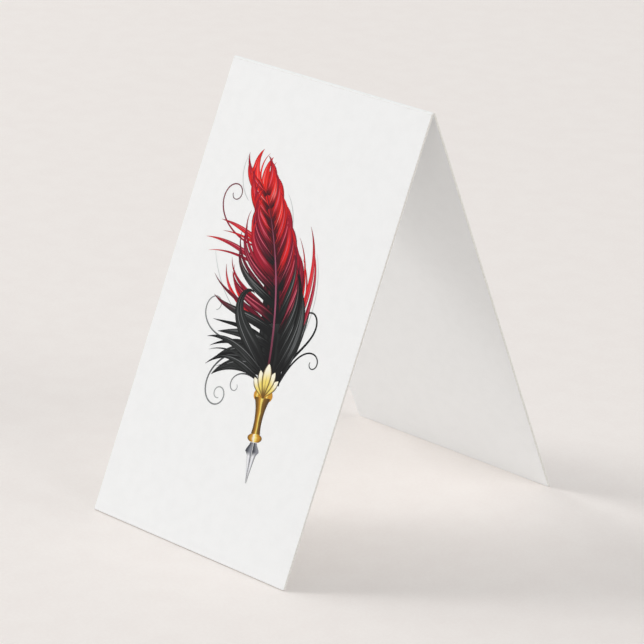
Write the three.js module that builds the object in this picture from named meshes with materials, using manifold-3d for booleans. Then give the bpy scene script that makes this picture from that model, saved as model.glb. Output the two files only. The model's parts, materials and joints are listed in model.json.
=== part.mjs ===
// A tent card: one sheet of heavy card stock, scored across the middle and folded so
// that it stands on its two short edges, with a quill pen printed on the front leaf.
//
// Millimetres. The fold runs along X, the front leaf faces -Y, +Z is up, and the origin
// is on the table, midway between the two edges that the card stands on.
// The card is three nodes: two stiff leaves and the bent strip between them. The print
// is a set of thin ink films lying on the front leaf, one node for each printed shape.
import * as THREE from "three";
import { mergeVertices } from "three/addons/utils/BufferGeometryUtils.js";
import Module from "manifold-3d";

const wasm = await Module();
wasm.setup();

// The card
const LEAF_WIDTH = 50.8; // 2 inches, along the fold
const FLAT_LENGTH = 177.8; // 7 inches, the sheet before it is folded
const STOCK = 0.45; // thickness of the card
const FOLD_INNER_RADIUS = 0.1; // the inner faces stand this far off the fold's axis
const OPENING_DEG = 47; // angle between the leaves as the card stands
const LEAF_GAP = 0.02; // clearance between a leaf and the bent strip
const ARC_STEPS = 24; // facets round the fold

// The ink
const INK = 0.05; // thickness of an ink film
const INK_LIFT = 0.02; // clearance between the film and the card
const KEYLINE = 0.04; // bare line left between two printed shapes
const RIBBON_STEPS = 8; // steps along one lock of the feather
const FREE_LOCK_STEPS = 16; // steps along a lock that stands free
const CURL_STEPS = 24; // steps along one curl

// The quill, in the front leaf's own plane: x to the right of its middle, y up from its
// lower edge
const SHAFT_BASE = new THREE.Vector2(6.5, 33.4);
const SHAFT_BASE_PULL = new THREE.Vector2(4.6, 48.0);
const SHAFT_TIP_PULL = new THREE.Vector2(-1.0, 58.5);
const SHAFT_TIP = new THREE.Vector2(-7.6, 67.0);
const SHAFT_HALF_WIDTH = 0.24;
const THROAT = new THREE.Vector2(6.9, 31.2); // where the collar meets the holder
const PEN_HEADING_DEG = -82; // direction from the throat to the point of the nib
const HOLDER_LENGTH = 7.0;
const BEAD_LENGTH = 1.5;
const NIB_LENGTH = 7.5;
const LOCKS_A_SIDE = 14; // locks of barbs on each side of the shaft
const BLACK_BELOW = 0.3; // shares of the shaft's length where the vane changes colour
const RED_ABOVE = 0.55;

const rad = THREE.MathUtils.degToRad;
const { lerp, smoothstep } = THREE.MathUtils;

const halfAngle = rad(OPENING_DEG / 2);
const bendAngle = Math.PI - 2 * halfAngle;
const neutralArc = (FOLD_INNER_RADIUS + STOCK / 2) * bendAngle;
const straight = (FLAT_LENGTH - neutralArc) / 2; // flat part of each leaf
const axisHeight = straight * Math.cos(halfAngle) - FOLD_INNER_RADIUS * Math.sin(halfAngle);
const footDistance = straight * Math.sin(halfAngle) + FOLD_INNER_RADIUS * Math.cos(halfAngle);

const cardWhite = new THREE.MeshStandardMaterial({ color: 0xf1f1ef, roughness: 0.8, metalness: 0 });
const ink = (color) => new THREE.MeshStandardMaterial({ color, roughness: 0.5, metalness: 0 });
const inks = {
  red: ink(0xc8141f),
  crimson: ink(0x7a1a34),
  black: ink(0x222022),
  shaft: ink(0x8c3f55),
  curl: ink(0x55504f),
  gold: ink(0xe6bb4a),
  bronze: ink(0x8a6218),
  steel: ink(0x70747c),
};

// ---- solids -------------------------------------------------------------------------

// A closed three.js geometry as a manifold-3d solid.
function toSolid(geometry) {
  const bare = geometry.clone();
  bare.deleteAttribute("normal");
  bare.deleteAttribute("uv");
  const merged = mergeVertices(bare, 1e-5);
  return new wasm.Manifold(
    new wasm.Mesh({
      numProp: 3,
      vertProperties: new Float32Array(merged.attributes.position.array),
      triVerts: new Uint32Array(merged.index.array),
    }),
  );
}

// A manifold-3d solid as a three.js geometry.
function toGeometry(solid) {
  const mesh = solid.getMesh();
  const geometry = new THREE.BufferGeometry();
  geometry.setAttribute("position", new THREE.BufferAttribute(mesh.vertProperties, 3));
  geometry.setIndex(new THREE.BufferAttribute(mesh.triVerts, 1));
  geometry.computeVertexNormals();
  return geometry;
}

// The ink film inside a closed outline.
function film(outline) {
  const geometry = new THREE.ExtrudeGeometry(new THREE.Shape(outline), {
    depth: INK,
    bevelEnabled: false,
  });
  return toSolid(geometry);
}

const joined = (solids) => solids.reduce((sum, one) => sum.add(one));

// The largest of the separate bodies that a cut leaves.
function largestBody(solid) {
  return solid.decompose().reduce((best, one) => (one.volume() > best.volume() ? one : best));
}

// ---- lines of the drawing -----------------------------------------------------------

const shaft = new THREE.CubicBezierCurve(SHAFT_BASE, SHAFT_BASE_PULL, SHAFT_TIP_PULL, SHAFT_TIP);

const ahead = (heading, distance) =>
  new THREE.Vector2(Math.cos(heading) * distance, Math.sin(heading) * distance);

// Direction of the shaft at a share of its length, as an angle from +x.
function shaftHeading(share) {
  const tangent = shaft.getTangentAt(share);
  return Math.atan2(tangent.y, tangent.x);
}

// A point beside the shaft; out is positive on the left.
const besideShaft = (share, out) =>
  shaft.getPointAt(share).add(ahead(shaftHeading(share) + Math.PI / 2, out));

// Points of a line that leaves root at a heading and turns as turnAt(share) says.
// Crowding above 1 makes the steps shorter towards the end of the line.
function sweep(root, heading, length, turnAt, steps, crowding = 1) {
  const shareAt = (i) => 1 - (1 - i / steps) ** crowding;
  const points = [root.clone()];
  for (let i = 0; i < steps; i++) {
    const [from, to] = [shareAt(i), shareAt(i + 1)];
    const step = ahead(heading + turnAt((from + to) / 2), length * (to - from));
    points.push(points[i].clone().add(step));
  }
  return points;
}

// The closed outline of a band round a line, with its half width at each share.
function band(points, halfWidthAt) {
  const left = [];
  const right = [];
  const last = points.length - 1;
  points.forEach((point, i) => {
    const before = points[Math.max(i - 1, 0)];
    const after = points[Math.min(i + 1, last)];
    const along = after.clone().sub(before).normalize();
    const side = new THREE.Vector2(-along.y, along.x).multiplyScalar(halfWidthAt(i / last));
    left.push(point.clone().add(side));
    right.push(point.clone().sub(side));
  });
  return [...right, ...left.reverse()];
}

// ---- the feather --------------------------------------------------------------------
// Each shape is a function of grow, the distance by which its outline is grown.

// A lock of barbs swells from its root, is widest at two fifths, and ends in a point.
const lockWidth = (halfWidth, grow, root = 0.3) => (share) =>
  halfWidth * lerp(root, 1, smoothstep(share, 0, 0.4)) * (1 - share ** 2.2) + grow + 0.02;

// A steady unevenness between -1 and 1 for lock number i.
const uneven = (i) => Math.sin(2.4 * i + 0.7);

// Lock number i grows longer or shorter than its neighbours, and wider or narrower.
const stretch = (i) => 1 + 0.09 * uneven(i);
const halfWidthOf = (i, share) => 1.5 - 0.3 * share + 0.12 * uneven(2 * i);

// From 0 to 1, how far the locks on the left stand apart: longer and slimmer half way up.
const apartAt = (share) => smoothstep(share, 0.1, 0.25) * (1 - smoothstep(share, 0.5, 0.65));

// Locks on the left arch over at the bottom of the feather; above, their tips flick up.
function leftLock(i, share, grow) {
  const apart = apartAt(share);
  const heading = shaftHeading(share) + rad(lerp(62, 34, smoothstep(share, 0, 0.85)));
  const arch = rad(lerp(62, -20, smoothstep(share, 0, 0.7)));
  const flick = rad(lerp(10, -80, smoothstep(share, 0.05, 0.4)) + 40 * smoothstep(share, 0.6, 1));
  const plainLength = 13.5 + 2.5 * Math.sin(Math.PI * share) - 5.5 * share;
  const length = plainLength * (stretch(i) + 0.14 * apart);
  const half = halfWidthOf(i, share) * (1 - 0.32 * apart);
  const turnAt = (s) => arch * s + flick * s ** 3;
  const line = sweep(besideShaft(share, 0.25), heading, length, turnAt, RIBBON_STEPS);
  return film(band(line, lockWidth(half, grow, lerp(0.3, 0.85, apart))));
}

// Locks on the right all bulge outwards and close in towards the top.
function rightLock(i, share, grow) {
  const heading = shaftHeading(share) - rad(lerp(26, 42, share));
  const length = lerp(17.5, 6, share) * stretch(i);
  const root = besideShaft(share, -0.25 - lerp(1.7, 0, smoothstep(share, 0, 0.7)));
  const line = sweep(root, heading, length, (s) => rad(62) * s * s, RIBBON_STEPS);
  return film(band(line, lockWidth(halfWidthOf(i, share), grow)));
}

// The bed of short barbs beside the shaft, on which the locks lie.
function bed(side, from, to, grow) {
  const [widest, root] = side > 0 ? [2.0, 0.45] : [1.8, 1];
  const half = (share) =>
    widest * (1 - 0.45 * share) * lerp(root, 1, smoothstep(share, 0, 0.12));
  const shareAt = (s) => lerp(from, to, s);
  const line = [];
  for (let i = 0; i <= RIBBON_STEPS; i++) {
    const share = shareAt(i / RIBBON_STEPS);
    line.push(besideShaft(share, side * (half(share) - 0.2)));
  }
  return film(band(line, (s) => half(shareAt(s)) + grow));
}

// One colour of the vane: the locks between two shares of the shaft, on one side.
function vane(side, from, to) {
  return (grow) => {
    const found = [bed(side, from, Math.min(to, 0.97), grow)];
    for (let i = 0; i < LOCKS_A_SIDE; i++) {
      const share = (i + 0.5) / LOCKS_A_SIDE;
      if (share < from || share >= to) continue;
      found.push(side > 0 ? leftLock(i, share, grow) : rightLock(i, share, grow));
    }
    return joined(found);
  };
}

// A lock that stands free of the vane, from a root at a heading. A larger bend keeps its
// turn for its end.
function freeLock(x, y, headingDeg, length, turnDeg, half, bend = 2) {
  return (grow) => {
    const turnAt = (s) => rad(turnDeg) * s ** bend;
    const line = sweep(new THREE.Vector2(x, y), rad(headingDeg), length, turnAt, FREE_LOCK_STEPS);
    return film(band(line, lockWidth(half, grow)));
  };
}

// A curl: a thin line that sways as it runs out and winds up at its end.
function curl(x, y, headingDeg, length, swayDeg, windDeg, half) {
  return (grow) => {
    const turnAt = (s) => rad(swayDeg) * s + rad(windDeg) * s ** 4;
    const line = sweep(new THREE.Vector2(x, y), rad(headingDeg), length, turnAt, CURL_STEPS, 1.35);
    return film(band(line, (s) => half * (1 - 0.6 * s) + grow));
  };
}

function shaftLine(grow) {
  const halfWidthAt = (s) => SHAFT_HALF_WIDTH * (1.15 - 0.8 * s) + grow;
  return film(band(shaft.getSpacedPoints(16), halfWidthAt));
}

// ---- the pen ------------------------------------------------------------------------

const penHeading = rad(PEN_HEADING_DEG);

// A point of the pen: distance from the throat towards the nib, and to the pen's side.
const penPoint = (along, across) =>
  THROAT.clone()
    .add(ahead(penHeading, along))
    .add(ahead(penHeading + Math.PI / 2, across));

// A shape that is symmetric about the pen's axis, from its half width at each share.
function turned(start, length, halfWidthAt, steps) {
  return (grow) => {
    const line = [];
    for (let i = 0; i <= steps; i++) line.push(penPoint(start + (length * i) / steps, 0));
    return film(band(line, (s) => halfWidthAt(s) + grow));
  };
}

// One rounded leaf of the collar, at an angle from the pen's axis.
function collarLeaf(angleDeg, length, half) {
  return (grow) => {
    const heading = penHeading + Math.PI + rad(angleDeg);
    const line = sweep(penPoint(0.4, 0), heading, length, () => 0, 10);
    const halfWidthAt = (s) => half * Math.sin(Math.PI * s ** 1.6) ** 0.8 + 0.15 * (1 - s) + 0.02;
    return film(band(line, (s) => halfWidthAt(s) + grow));
  };
}

// A round cheek at one side of the throat.
function cheek(side) {
  return (grow) => {
    const points = [];
    for (let i = 0; i < 16; i++) {
      const angle = (i / 16) * 2 * Math.PI;
      const across = side * 1.2 + (1.1 + grow) * Math.sin(angle);
      points.push(penPoint(-0.1 + (1.1 + grow) * Math.cos(angle), across));
    }
    return film(points);
  };
}

const holderWidth = (s) => 0.85 + 1.1 * (1 - s) ** 3 + 0.25 * s ** 6;
const beadWidth = (s) => 0.8 + 0.95 * Math.sin(Math.PI * s) ** 0.6;

// Half of the nib, split down the middle: flared shoulders, a step, then a long taper.
function nibHalf(side) {
  const start = HOLDER_LENGTH + BEAD_LENGTH + 0.1;
  const slit = side * 0.06;
  const shoulder = 0.22;
  return (grow) => {
    const points = [penPoint(start, slit)];
    for (let i = 0; i <= 12; i++) {
      const s = i / 12;
      const flare = lerp(0.7, 1.55, smoothstep(s, 0, shoulder));
      const taper = s < shoulder ? 1 : ((1 - s) / (1 - shoulder)) ** 1.15;
      const step = lerp(1, 0.7, smoothstep(s, shoulder, shoulder + 0.1));
      points.push(penPoint(start + NIB_LENGTH * s, side * (flare * taper * step + grow + 0.09)));
    }
    points.push(penPoint(start + NIB_LENGTH, slit));
    return film(side > 0 ? points : points.reverse());
  };
}

// ---- the print, from the topmost shape down -----------------------------------------

const LEFT = 1;
const RIGHT = -1;
const printed = [
  ["print_bead", inks.gold, turned(HOLDER_LENGTH, BEAD_LENGTH, beadWidth, 10)],
  ["print_collar_leaf_middle", inks.gold, collarLeaf(0, 6.4, 1.05)],
  ["print_collar_leaf_left", inks.gold, collarLeaf(20, 5.3, 0.85)],
  ["print_collar_leaf_right", inks.gold, collarLeaf(-20, 5.3, 0.85)],
  ["print_collar_leaf_outer_left", inks.gold, collarLeaf(40, 4.6, 0.75)],
  ["print_collar_leaf_outer_right", inks.gold, collarLeaf(-40, 4.6, 0.75)],
  ["print_shaft", inks.shaft, shaftLine],
  ["print_holder", inks.bronze, turned(0.3, HOLDER_LENGTH - 0.3, holderWidth, 10)],
  ["print_cheek_left", inks.gold, cheek(-1)],
  ["print_cheek_right", inks.gold, cheek(1)],
  ["print_nib_left", inks.steel, nibHalf(-1)],
  ["print_nib_right", inks.steel, nibHalf(1)],
  ["print_lock_hook", inks.black, freeLock(6.0, 35.6, 146, 20.5, -190, 1.9, 5)],
  ["print_lock_left_4", inks.black, freeLock(5.8, 34.4, 152, 17.5, 48, 0.9)],
  ["print_lock_left_5", inks.black, freeLock(5.0, 33.4, 158, 13, 46, 0.7)],
  ["print_vane_left_black", inks.black, vane(LEFT, 0, BLACK_BELOW)],
  ["print_vane_right_black", inks.black, vane(RIGHT, 0, BLACK_BELOW)],
  ["print_vane_left_crimson", inks.crimson, vane(LEFT, BLACK_BELOW, RED_ABOVE)],
  ["print_vane_right_crimson", inks.crimson, vane(RIGHT, BLACK_BELOW, RED_ABOVE)],
  ["print_vane_left_red", inks.red, vane(LEFT, RED_ABOVE, 1)],
  ["print_vane_right_red", inks.red, vane(RIGHT, RED_ABOVE, 1)],
  ["print_plume_long", inks.red, freeLock(-5.4, 63.8, 148, 13, -92, 1.5)],
  ["print_plume_short", inks.red, freeLock(-6.5, 64.6, 120, 9, -58, 1.2)],
  ["print_lock_left_1", inks.red, freeLock(-1.5, 56.0, 160, 15, 22, 0.65)],
  ["print_lock_left_2", inks.crimson, freeLock(-0.4, 52.6, 162, 18.5, 28, 0.6)],
  ["print_lock_left_3", inks.red, freeLock(-0.5, 44.2, 166, 14, -62, 0.5)],
  ["print_lock_right_1", inks.red, freeLock(9.6, 43, 86, 21, 44, 0.6)],
  ["print_lock_right_2", inks.crimson, freeLock(10.4, 41, 82, 19, 46, 0.5)],
  ["print_lock_right_3", inks.black, freeLock(9.4, 34.4, 76, 18, 30, 0.8)],
  ["print_curl_top_left", inks.crimson, curl(-5.5, 56.4, 178, 25, -70, -380, 0.18)],
  ["print_curl_left", inks.curl, curl(-0.5, 39.4, 196, 22, -62, -300, 0.18)],
  ["print_curl_bottom_left", inks.curl, curl(0.8, 37.8, 184, 27, 150, 420, 0.2)],
  ["print_curl_small", inks.curl, curl(4.4, 33.4, 158, 11, 90, 260, 0.16)],
  ["print_curl_right", inks.curl, curl(9.6, 37, 62, 16.5, -26, 300, 0.27)],
  ["print_curl_bottom_right", inks.curl, curl(9.6, 34.4, 74, 15.5, -42, -330, 0.2)],
];

// ---- the assembly -------------------------------------------------------------------

const model = new THREE.Group();

function add(parent, name, geometry, material) {
  const mesh = new THREE.Mesh(geometry, material);
  mesh.name = name;
  parent.add(mesh);
}

// The frame of a leaf as it stands: x along the fold, y up the leaf from the edge it
// stands on, z outwards from its inner face.
function leafFrame(turnRoundZ) {
  const turn = new THREE.Group();
  turn.rotation.z = turnRoundZ;
  const lean = new THREE.Group();
  lean.position.y = -footDistance;
  lean.rotation.x = Math.PI / 2 - halfAngle;
  turn.add(lean);
  model.add(turn);
  return lean;
}

function leafSheet() {
  const length = straight - LEAF_GAP;
  return new THREE.BoxGeometry(LEAF_WIDTH, length, STOCK).translate(0, length / 2, STOCK / 2);
}

// The strip that is bent round the fold's axis, from one leaf's end to the other's.
function foldStrip() {
  const outer = FOLD_INNER_RADIUS + STOCK;
  const outline = new THREE.Shape();
  outline.absarc(0, 0, outer, halfAngle, Math.PI - halfAngle, false);
  outline.absarc(0, 0, FOLD_INNER_RADIUS, Math.PI - halfAngle, halfAngle, true);
  const strip = new THREE.ExtrudeGeometry(outline, {
    depth: LEAF_WIDTH,
    curveSegments: ARC_STEPS,
    bevelEnabled: false,
  });
  strip.translate(0, 0, -LEAF_WIDTH / 2);
  const [x, y, z] = [0, 1, 2].map((k) => new THREE.Vector3().setComponent(k, 1));
  strip.applyMatrix4(new THREE.Matrix4().makeBasis(y, z, x));
  return strip.translate(0, 0, axisHeight);
}

const frontFrame = leafFrame(0);
const backFrame = leafFrame(Math.PI);
add(frontFrame, "front_leaf", leafSheet(), cardWhite);
add(backFrame, "back_leaf", leafSheet(), cardWhite);
add(model, "fold_crease", foldStrip(), cardWhite);

const printFrame = new THREE.Group();
printFrame.position.z = STOCK + INK_LIFT;
frontFrame.add(printFrame);

// Each shape is cut by the grown outlines of all the shapes above it.
let above = null;
for (const [name, material, make] of printed) {
  const whole = make(0);
  const cut = above ? whole.subtract(above) : whole;
  add(printFrame, name, toGeometry(largestBody(cut)), material);
  const grown = make(KEYLINE);
  above = above ? above.add(grown) : grown;
}

export default model;
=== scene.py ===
"""A folded tent card on a pale surface, with a quill pen printed on its front leaf.

Metres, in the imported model's frame: the fold runs along X, the front leaf faces -Y and
+Z is up. The card is three pieces: two leaves and the strip that bends at the fold. The
print is a set of thin ink films on the front leaf, one piece for each CAD node of ink.
The drawing is laid out in millimetres in the leaf's own plane: x to the right of its
middle, y up from the edge it stands on.
"""

import json
import math
from collections import namedtuple

import bpy
import numpy as np
from mathutils import Matrix, Vector
from mathutils.geometry import delaunay_2d_cdt


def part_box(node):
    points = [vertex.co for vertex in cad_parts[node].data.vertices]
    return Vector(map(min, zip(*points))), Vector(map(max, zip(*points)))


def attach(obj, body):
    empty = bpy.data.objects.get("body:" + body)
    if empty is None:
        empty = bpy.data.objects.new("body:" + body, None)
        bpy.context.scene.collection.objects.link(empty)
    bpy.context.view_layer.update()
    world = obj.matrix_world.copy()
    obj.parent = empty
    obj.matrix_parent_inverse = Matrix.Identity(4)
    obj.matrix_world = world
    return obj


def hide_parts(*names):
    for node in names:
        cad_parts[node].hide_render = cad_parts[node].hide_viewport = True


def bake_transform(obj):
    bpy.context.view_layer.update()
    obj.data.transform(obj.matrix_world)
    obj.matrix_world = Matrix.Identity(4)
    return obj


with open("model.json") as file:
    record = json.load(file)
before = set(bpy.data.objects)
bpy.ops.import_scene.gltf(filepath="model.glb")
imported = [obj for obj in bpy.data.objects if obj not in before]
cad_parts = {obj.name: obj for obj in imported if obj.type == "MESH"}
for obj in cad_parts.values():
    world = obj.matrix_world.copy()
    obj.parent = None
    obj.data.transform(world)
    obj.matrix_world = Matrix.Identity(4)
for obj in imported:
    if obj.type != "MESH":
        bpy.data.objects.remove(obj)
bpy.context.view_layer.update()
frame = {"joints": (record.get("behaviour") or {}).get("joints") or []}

MM = 0.001

# ---- sizes read from the frame ---------------------------------------------------------

fold = frame["joints"][0]
FOLD_AXIS = Vector(fold["pos_m"])
HALF_ANGLE = -math.radians(fold["range_deg"][0]) / 2  # shut, the leaves are parallel
leaf_low, leaf_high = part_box("front_leaf")
crease_low, crease_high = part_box("fold_crease")
LEAF_WIDTH = leaf_high[0] - leaf_low[0]
INNER_RADIUS = (crease_low[2] - FOLD_AXIS.z) / math.sin(HALF_ANGLE)
OUTER_RADIUS = crease_high[2] - FOLD_AXIS.z
STOCK = OUTER_RADIUS - INNER_RADIUS
LEAF_LENGTH = (FOLD_AXIS.z + INNER_RADIUS * math.sin(HALF_ANGLE)) / math.cos(HALF_ANGLE)
FOOT = LEAF_LENGTH * math.sin(HALF_ANGLE) + INNER_RADIUS * math.cos(HALF_ANGLE)
FOLD_SPAN = math.pi / 2 - HALF_ANGLE  # from the fold's crown to each of its ends
OBJECT_MIDDLE = Vector((0, 0, (FOLD_AXIS.z + OUTER_RADIUS) / 2))
FRONT = 1  # the leaves
BACK = -1

# ---- sizes of the details --------------------------------------------------------------

EDGE_ROUND = 0.06 * MM  # radius of the card's cut edges
EDGE_STEPS = 3  # facets in that rounding
FOOT_TURN = math.radians(5)  # where the foot's rounding starts, so that it ends in a face
LEAF_ROWS = 24
END_GAP = 0.01 * MM  # between a leaf and the fold, so the leaves don't meet when opened flat
FOLD_FACETS = 32
FOLD_COLUMNS = 60
CRUSH = 0.02 * MM  # depth of the score's two pressed lines
CRUSH_TURN = 0.62  # radians from the fold's crown to each line
CRUSH_SPREAD = 0.16  # and how far a line reaches to its sides
RIPPLE = 0.35 * CRUSH  # how much the depth changes along the fold
INK_BOTTOM = -0.01 * MM  # from the card's surface
INK_TOP = 0.02 * MM

# ---- camera and light ------------------------------------------------------------------

VIEW_AZIMUTH = math.radians(44.66)  # of the camera's place, from -Y towards +X
VIEW_ELEVATION = math.radians(19.94)
VIEW_ROLL = math.radians(1.01)
VIEW_DISTANCE = 0.646
AIM_RIGHT = -1.15 * MM  # from the object's middle to the middle of the picture
AIM_UP = -5.0 * MM
FOCAL_RATIO = 5.397  # focal length over the width of the picture
SENSOR_MM = 36

# Each light: azimuth from +X and elevation in degrees, distance and diameter in metres, watts.
KEY_LIGHT = (-149, 30, 2.0, 0.6, 8.1)
RIGHT_FILL = (10, 25, 2.4, 1.6, 14.2)
LEFT_FILL = (-165, 12, 4.0, 4.0, 127)
ROOM_HIGH = 0.575  # brightness of the room overhead, and at the level of the table
ROOM_LOW = 0.40
FLOOR_RADIUS = 30  # its edge is far outside the picture


def srgb(red, green, blue):
    """A linear colour from its display values, 0 to 255."""
    shares = (c / 255 for c in (red, green, blue))
    return tuple(s / 12.92 if s <= 0.04045 else ((s + 0.055) / 1.055) ** 2.4 for s in shares)


# ---- the inks --------------------------------------------------------------------------

BLACK = srgb(20, 20, 22)
CHARCOAL = srgb(44, 46, 46)
GREY = srgb(122, 125, 126)
PALE_GREY = srgb(176, 180, 180)
MIST = srgb(206, 209, 209)
MAROON = srgb(74, 14, 28)
WINE = srgb(118, 16, 44)
CRIMSON = srgb(166, 18, 46)
RED = srgb(228, 30, 32)
BRIGHT_RED = srgb(250, 40, 34)
PINK = srgb(232, 104, 124)
PALE_PINK = srgb(248, 150, 150)
MAUVE = srgb(168, 88, 116)
CREAM = srgb(255, 250, 226)
YELLOW = srgb(250, 226, 116)
AMBER = srgb(204, 146, 40)
BROWN = srgb(124, 86, 18)
DARK_BROWN = srgb(78, 54, 16)
STEEL_DARK = srgb(66, 68, 76)
STEEL = srgb(138, 140, 148)
STEEL_PALE = srgb(240, 240, 244)

# A shape has four inks: at its root, along its body, at its tip, and its shine. They are
# kept in attributes with these names.
INKS = ("root_ink", "body_ink", "tip_ink", "shine_ink")
BLACK_LOCK = (BLACK, CHARCOAL, BLACK, GREY)
SMOKE_LOCK = (BLACK, CHARCOAL, WINE, GREY)
WINE_LOCK = (BLACK, WINE, CRIMSON, PINK)
CRIMSON_LOCK = (MAROON, CRIMSON, RED, PINK)
RED_LOCK = (MAROON, RED, CRIMSON, PINK)
FLAME_LOCK = (MAROON, BRIGHT_RED, RED, PALE_PINK)

# ---- the drawing's main sizes, as in the CAD -------------------------------------------

SHAFT_BASE = (6.5, 33.4)
SHAFT_BASE_PULL = (4.6, 48.0)
SHAFT_TIP_PULL = (-1.0, 58.5)
SHAFT_TIP = (-7.6, 67.0)
SHAFT_HALF_WIDTH = 0.24
THROAT = (6.9, 31.2)  # where the collar meets the holder
PEN_HEADING = -82
HOLDER_LENGTH = 7.0
BEAD_LENGTH = 1.5
NIB_LENGTH = 7.5
BLACK_BELOW = 0.3  # shares of the shaft's length where the vane changes colour
RED_ABOVE = 0.55
LOCKS_A_SIDE = 14
LEFT = 1  # the sides of the shaft
RIGHT = -1
THINNEST = 0.01  # half width that every stroke keeps at its point


# ---- node helpers ----------------------------------------------------------------------


def new_material(name, roughness, specular):
    """A material, its node tree and its shader."""
    material = bpy.data.materials.new(name)
    material.use_nodes = True
    shader = material.node_tree.nodes["Principled BSDF"]
    shader.inputs["Roughness"].default_value = roughness
    shader.inputs["Specular IOR Level"].default_value = specular
    return material, material.node_tree, shader


def add_node(tree, kind, inputs, **settings):
    """A new shader node. Each input is a socket to link, or a value to set."""
    made = tree.nodes.new("ShaderNode" + kind)
    for name, value in settings.items():
        setattr(made, name, value)
    for key, value in inputs.items():
        if isinstance(value, bpy.types.NodeSocket):
            tree.links.new(value, made.inputs[key])
        else:
            made.inputs[key].default_value = value
    return made


def calc(tree, operation, *values):
    """A sum or other operation on sockets and numbers."""
    return add_node(tree, "Math", dict(enumerate(values)), operation=operation).outputs[0]


def ease(tree, value, low, high, to_low=0.0, to_high=1.0):
    """to_low where the value is below low, to_high where it is above high, eased between."""
    inputs = {0: value, 1: low, 2: high, 3: to_low, 4: to_high}
    return add_node(tree, "MapRange", inputs, interpolation_type="SMOOTHSTEP").outputs[0]


def mix(tree, factor, first, second):
    """The first colour where the factor is 0, the second where it is 1."""
    inputs = {0: factor, 6: first, 7: second}
    return add_node(tree, "Mix", inputs, data_type="RGBA").outputs[2]


def noise(tree, vector, scale, detail):
    inputs = {"Vector": vector, "Scale": scale, "Detail": detail}
    return add_node(tree, "TexNoise", inputs).outputs[0]


def object_place(tree):
    """The place on the object, in metres."""
    return add_node(tree, "TexCoord", {}).outputs["Object"]


def bump(tree, height, strength, distance, below=None):
    """A normal from a height, on top of another bump if there is one."""
    inputs = {"Height": height, "Strength": strength, "Distance": distance}
    if below is not None:
        inputs["Normal"] = below
    return add_node(tree, "Bump", inputs).outputs[0]


# ---- materials of the card and the floor -----------------------------------------------
# The scale of a noise is in grains to the metre.

CARD_WHITE = srgb(249, 250, 250)
CARD_SHADE = srgb(245, 246, 246)
EDGE_WHITE = srgb(238, 237, 233)
EDGE_SHADE = srgb(222, 220, 214)
FLOOR_PALE = srgb(247, 242, 238)
FLOOR_SHADE = srgb(244, 238, 234)


def card_bump(tree):
    """The tooth of uncoated card: felted fibres over slow, soft waves."""
    place = object_place(tree)
    soft = bump(tree, noise(tree, place, 260, 2), 0.25, 0.03 * MM)
    return bump(tree, noise(tree, place, 3800, 4), 0.25, 0.02 * MM, soft)


def card_material():
    """Heavy uncoated white stock: cloudy formation, fibres and a fine tooth."""
    material, tree, shader = new_material("heavy_card", 0.8, 0.35)
    place = object_place(tree)
    clouds = ease(tree, noise(tree, place, 420, 4), 0.35, 0.7, 0.0, 0.45)
    fibres = ease(tree, noise(tree, place, 5200, 3), 0.3, 0.75, 0.0, 0.55)
    color = mix(tree, calc(tree, "ADD", clouds, fibres), (*CARD_WHITE, 1), (*CARD_SHADE, 1))
    tree.links.new(color, shader.inputs["Base Color"])
    tree.links.new(ease(tree, fibres, 0, 0.55, 0.74, 0.86), shader.inputs["Roughness"])
    tree.links.new(card_bump(tree), shader.inputs["Normal"])
    return material


def edge_material():
    """The card's cut edge: darker and a little warmer than the faces, in pressed plies with a torn
    grain.
    """
    material, tree, shader = new_material("cut_edge", 0.88, 0.25)
    place = object_place(tree)
    torn = noise(tree, place, 9000, 4)
    specks = noise(tree, place, 2600, 3)
    shade = ease(tree, calc(tree, "ADD", torn, specks), 0.8, 1.25)
    color = mix(tree, shade, (*EDGE_WHITE, 1), (*EDGE_SHADE, 1))
    tree.links.new(color, shader.inputs["Base Color"])
    tree.links.new(bump(tree, torn, 0.6, 0.03 * MM), shader.inputs["Normal"])
    return material


def fold_material():
    """The scored strip: card whose surface is stretched and finely cracked along the fold."""
    material, tree, shader = new_material("scored_card", 0.82, 0.3)
    inputs = {"Vector": object_place(tree), "Scale": (0.12, 1, 1)}
    stretched = add_node(tree, "Mapping", inputs).outputs[0]
    cracks = noise(tree, stretched, 9000, 5)
    color = mix(tree, ease(tree, cracks, 0.45, 0.7), (*CARD_WHITE, 1), (*EDGE_WHITE, 1))
    tree.links.new(color, shader.inputs["Base Color"])
    tree.links.new(bump(tree, cracks, 0.35, 0.02 * MM, card_bump(tree)), shader.inputs["Normal"])
    return material


def floor_material():
    """A smooth pale surface with faint mottling and a fine grain."""
    material, tree, shader = new_material("pale_floor", 0.9, 0.05)
    place = object_place(tree)
    mottle = ease(tree, noise(tree, place, 160, 5), 0.3, 0.7, 0.0, 0.5)
    grain = ease(tree, noise(tree, place, 1500, 3), 0.35, 0.65, 0.0, 0.5)
    color = mix(tree, calc(tree, "ADD", mottle, grain), (*FLOOR_PALE, 1), (*FLOOR_SHADE, 1))
    tree.links.new(color, shader.inputs["Base Color"])
    tree.links.new(bump(tree, grain, 0.2, 0.04 * MM), shader.inputs["Normal"])
    return material


# ---- materials of the print ------------------------------------------------------------
# Each stroke of the print has a map of its own, across and along it, and carries its four
# inks and a number of its own as attributes.

STROKE_MAP = "stroke"
SEED = "seed"
SEED_SHIFT = 37.0  # how far a stroke's number moves its noise
Printed = namedtuple("Printed", "across along seed root body tip shine")

# The bands of a printed metal: (share of the shape's width, the ink there).
GOLD_BANDS = (
    (0.0, "root"),
    (0.25, "body"),
    (0.42, "shine"),
    (0.55, "tip"),
    (0.75, "body"),
    (1.0, "root"),
)
BRONZE_BANDS = (
    (0.0, "root"),
    (0.2, "body"),
    (0.4, "tip"),
    (0.5, "shine"),
    (0.66, "body"),
    (1.0, "root"),
)


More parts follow.
